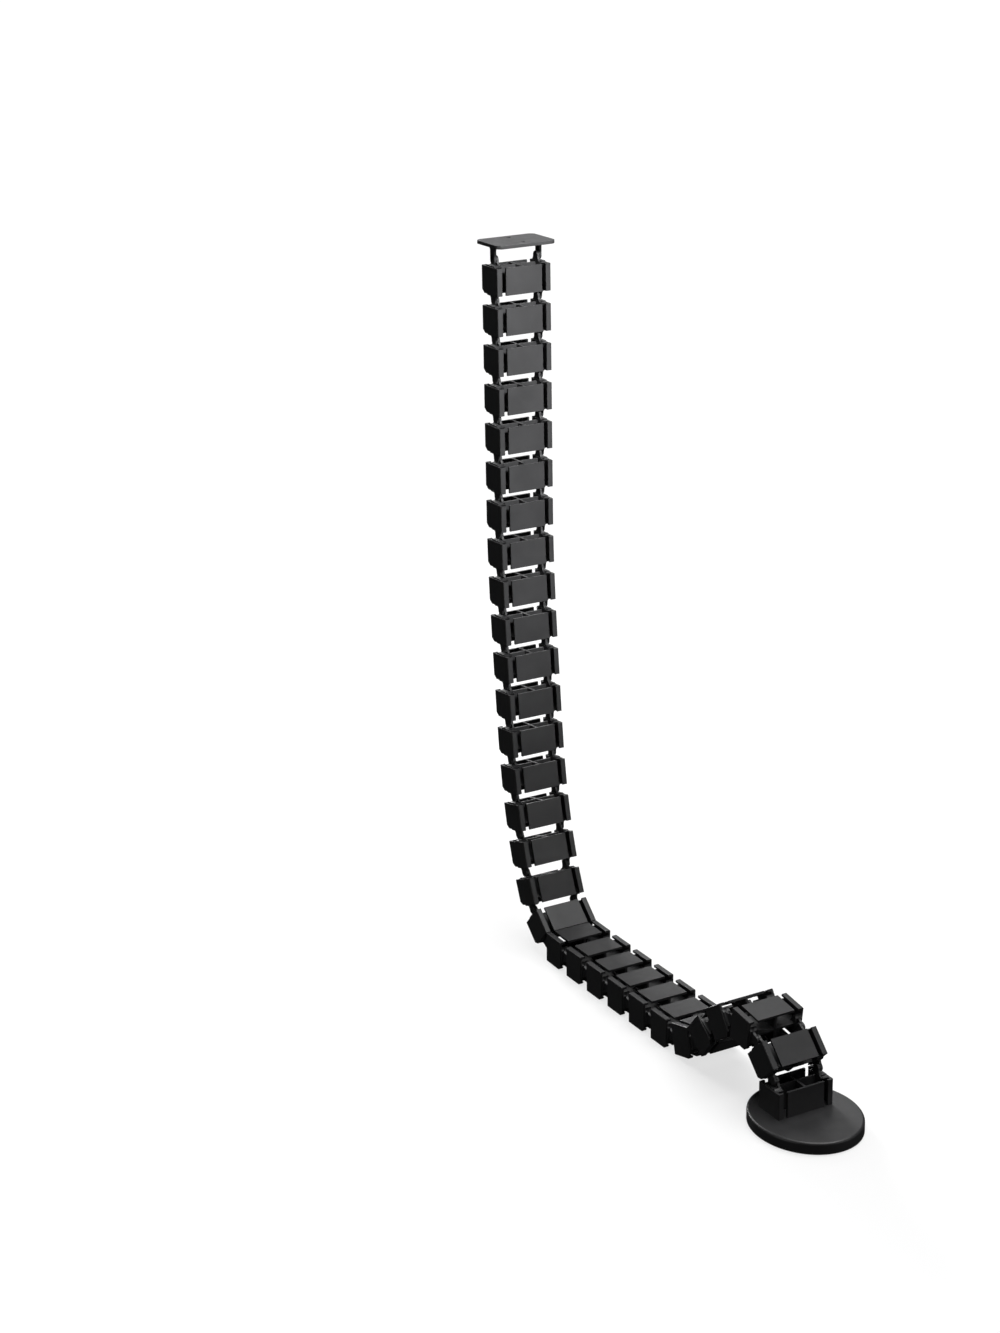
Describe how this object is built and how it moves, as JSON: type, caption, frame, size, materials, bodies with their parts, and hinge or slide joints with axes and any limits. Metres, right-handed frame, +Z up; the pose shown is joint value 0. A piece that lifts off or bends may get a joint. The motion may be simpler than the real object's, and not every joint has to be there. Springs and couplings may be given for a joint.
{
  "type": "cable spine",
  "caption": "Black hinged cable spine that leads cables in its channels from under a desk to a weighted oval floor base.",
  "frame": {"origin": "on the floor, on the underside of the base's pad, straight below the middle of the collar", "axes": "+Z up along the hanging links; +Y from the base towards the foot of the hanging run, away from the viewer; +X to the viewer's right, along every hinge"},
  "size_m": [0.099, 0.5777, 0.7154],
  "materials": {
    "black_plastic": "satin",
    "zinc_steel": "zinc plated",
    "foam_rubber": "matte"
  },
  "bodies": {
    "base": {"base_cover": "black_plastic", "base_weight": "zinc_steel", "base_pad": "foam_rubber", "base_screw_1": "zinc_steel", "base_screw_2": "zinc_steel", "base_screw_3": "zinc_steel", "base_screw_4": "zinc_steel"},
    "link_29": {"link_29": "black_plastic"},
    "link_28": {"link_28": "black_plastic"},
    "link_27": {"link_27": "black_plastic"},
    "link_26": {"link_26": "black_plastic"},
    "link_25": {"link_25": "black_plastic"},
    "link_24": {"link_24": "black_plastic"},
    "link_23": {"link_23": "black_plastic"},
    "link_22": {"link_22": "black_plastic"},
    "link_21": {"link_21": "black_plastic"},
    "link_20": {"link_20": "black_plastic"},
    "link_19": {"link_19": "black_plastic"},
    "link_18": {"link_18": "black_plastic"},
    "link_17": {"link_17": "black_plastic"},
    "link_16": {"link_16": "black_plastic"},
    "link_15": {"link_15": "black_plastic"},
    "link_14": {"link_14": "black_plastic"},
    "link_13": {"link_13": "black_plastic"},
    "link_12": {"link_12": "black_plastic"},
    "link_11": {"link_11": "black_plastic"},
    "link_10": {"link_10": "black_plastic"},
    "link_09": {"link_09": "black_plastic"},
    "link_08": {"link_08": "black_plastic"},
    "link_07": {"link_07": "black_plastic"},
    "link_06": {"link_06": "black_plastic"},
    "link_05": {"link_05": "black_plastic"},
    "link_04": {"link_04": "black_plastic"},
    "link_03": {"link_03": "black_plastic"},
    "link_02": {"link_02": "black_plastic"},
    "link_01": {"link_01": "black_plastic"},
    "bracket": {"desk_bracket": "black_plastic"}
  },
  "joints": [
    {"name": "hinge_30", "type": "hinge", "parent": "base", "child": "link_29", "pos_m": [0, 0, 0.0434], "axis": [-1, 0, 0], "range_deg": [-87.8, 5.2]},
    {"name": "hinge_29", "type": "hinge", "parent": "link_29", "child": "link_28", "pos_m": [0, 0.02748, 0.07107], "axis": [1, 0, 0], "range_deg": [-12.71, 80.29]},
    {"name": "hinge_28", "type": "hinge", "parent": "link_28", "child": "link_27", "pos_m": [0, 0.0661, 0.07643], "axis": [-1, 0, 0], "range_deg": [-84.41, 8.59]},
    {"name": "hinge_27", "type": "hinge", "parent": "link_27", "child": "link_26", "pos_m": [0, 0.09861, 0.05491], "axis": [1, 0, 0], "range_deg": [-32.5, 60.5]},
    {"name": "hinge_26", "type": "hinge", "parent": "link_26", "child": "link_25", "pos_m": [0, 0.12315, 0.0246], "axis": [-1, 0, 0], "range_deg": [-5.5, 87.5]},
    {"name": "hinge_25", "type": "hinge", "parent": "link_25", "child": "link_24", "pos_m": [0, 0.16107, 0.0155], "axis": [1, 0, 0], "range_deg": [-63.5, 29.5]},
    {"name": "hinge_24", "type": "hinge", "parent": "link_24", "child": "link_23", "pos_m": [0, 0.20006, 0.0155], "axis": [-1, 0, 0], "range_deg": [-43, 50]},
    {"name": "hinge_23", "type": "hinge", "parent": "link_23", "child": "link_22", "pos_m": [0, 0.23906, 0.0155], "axis": [1, 0, 0], "range_deg": [-50, 43]},
    {"name": "hinge_22", "type": "hinge", "parent": "link_22", "child": "link_21", "pos_m": [0, 0.27805, 0.0155], "axis": [-1, 0, 0], "range_deg": [-43, 50]},
    {"name": "hinge_21", "type": "hinge", "parent": "link_21", "child": "link_20", "pos_m": [0, 0.31704, 0.0155], "axis": [1, 0, 0], "range_deg": [-50, 43]},
    {"name": "hinge_20", "type": "hinge", "parent": "link_20", "child": "link_19", "pos_m": [0, 0.35604, 0.0155], "axis": [-1, 0, 0], "range_deg": [-42, 51]},
    {"name": "hinge_19", "type": "hinge", "parent": "link_19", "child": "link_18", "pos_m": [0, 0.39502, 0.01618], "axis": [1, 0, 0], "range_deg": [-91, 2]},
    {"name": "hinge_18", "type": "hinge", "parent": "link_18", "child": "link_17", "pos_m": [0, 0.424, 0.04227], "axis": [-1, 0, 0], "range_deg": [-17.5, 75.5]},
    {"name": "hinge_17", "type": "hinge", "parent": "link_17", "child": "link_16", "pos_m": [0, 0.43892, 0.0783], "axis": [1, 0, 0], "range_deg": [-55.5, 37.5]},
    {"name": "hinge_16", "type": "hinge", "parent": "link_16", "child": "link_15", "pos_m": [0, 0.45032, 0.11559], "axis": [-1, 0, 0], "range_deg": [-38.5, 54.5]},
    {"name": "hinge_15", "type": "hinge", "parent": "link_15", "child": "link_14", "pos_m": [0, 0.45876, 0.15366], "axis": [1, 0, 0], "range_deg": [-54, 39]},
    {"name": "hinge_14", "type": "hinge", "parent": "link_14", "child": "link_13", "pos_m": [0, 0.46453, 0.19222], "axis": [-1, 0, 0], "range_deg": [-40.5, 52.5]},
    {"name": "hinge_13", "type": "hinge", "parent": "link_13", "child": "link_12", "pos_m": [0, 0.4686, 0.231], "axis": [1, 0, 0], "range_deg": [-51, 42]},
    {"name": "hinge_12", "type": "hinge", "parent": "link_12", "child": "link_11", "pos_m": [0, 0.472, 0.26985], "axis": [-1, 0, 0], "range_deg": [-43, 50]},
    {"name": "hinge_11", "type": "hinge", "parent": "link_11", "child": "link_10", "pos_m": [0, 0.4754, 0.30869], "axis": [1, 0, 0], "range_deg": [-50.5, 42.5]},
    {"name": "hinge_10", "type": "hinge", "parent": "link_10", "child": "link_09", "pos_m": [0, 0.47846, 0.34756], "axis": [-1, 0, 0], "range_deg": [-42, 51]},
    {"name": "hinge_09", "type": "hinge", "parent": "link_09", "child": "link_08", "pos_m": [0, 0.48084, 0.38648], "axis": [1, 0, 0], "range_deg": [-51.5, 41.5]},
    {"name": "hinge_08", "type": "hinge", "parent": "link_08", "child": "link_07", "pos_m": [0, 0.4822, 0.42545], "axis": [-1, 0, 0], "range_deg": [-41, 52]},
    {"name": "hinge_07", "type": "hinge", "parent": "link_07", "child": "link_06", "pos_m": [0, 0.4822, 0.46445], "axis": [1, 0, 0], "range_deg": [-50, 43]},
    {"name": "hinge_06", "type": "hinge", "parent": "link_06", "child": "link_05", "pos_m": [0, 0.4822, 0.50344], "axis": [-1, 0, 0], "range_deg": [-43, 50]},
    {"name": "hinge_05", "type": "hinge", "parent": "link_05", "child": "link_04", "pos_m": [0, 0.4822, 0.54243], "axis": [1, 0, 0], "range_deg": [-50, 43]},
    {"name": "hinge_04", "type": "hinge", "parent": "link_04", "child": "link_03", "pos_m": [0, 0.4822, 0.58143], "axis": [-1, 0, 0], "range_deg": [-43, 50]},
    {"name": "hinge_03", "type": "hinge", "parent": "link_03", "child": "link_02", "pos_m": [0, 0.4822, 0.62042], "axis": [1, 0, 0], "range_deg": [-50, 43]},
    {"name": "hinge_02", "type": "hinge", "parent": "link_02", "child": "link_01", "pos_m": [0, 0.4822, 0.65941], "axis": [-1, 0, 0], "range_deg": [-43, 50]},
    {"name": "hinge_01", "type": "hinge", "parent": "link_01", "child": "bracket", "pos_m": [0, 0.4822, 0.69841], "axis": [1, 0, 0], "range_deg": [-50, 50]}
  ]
}
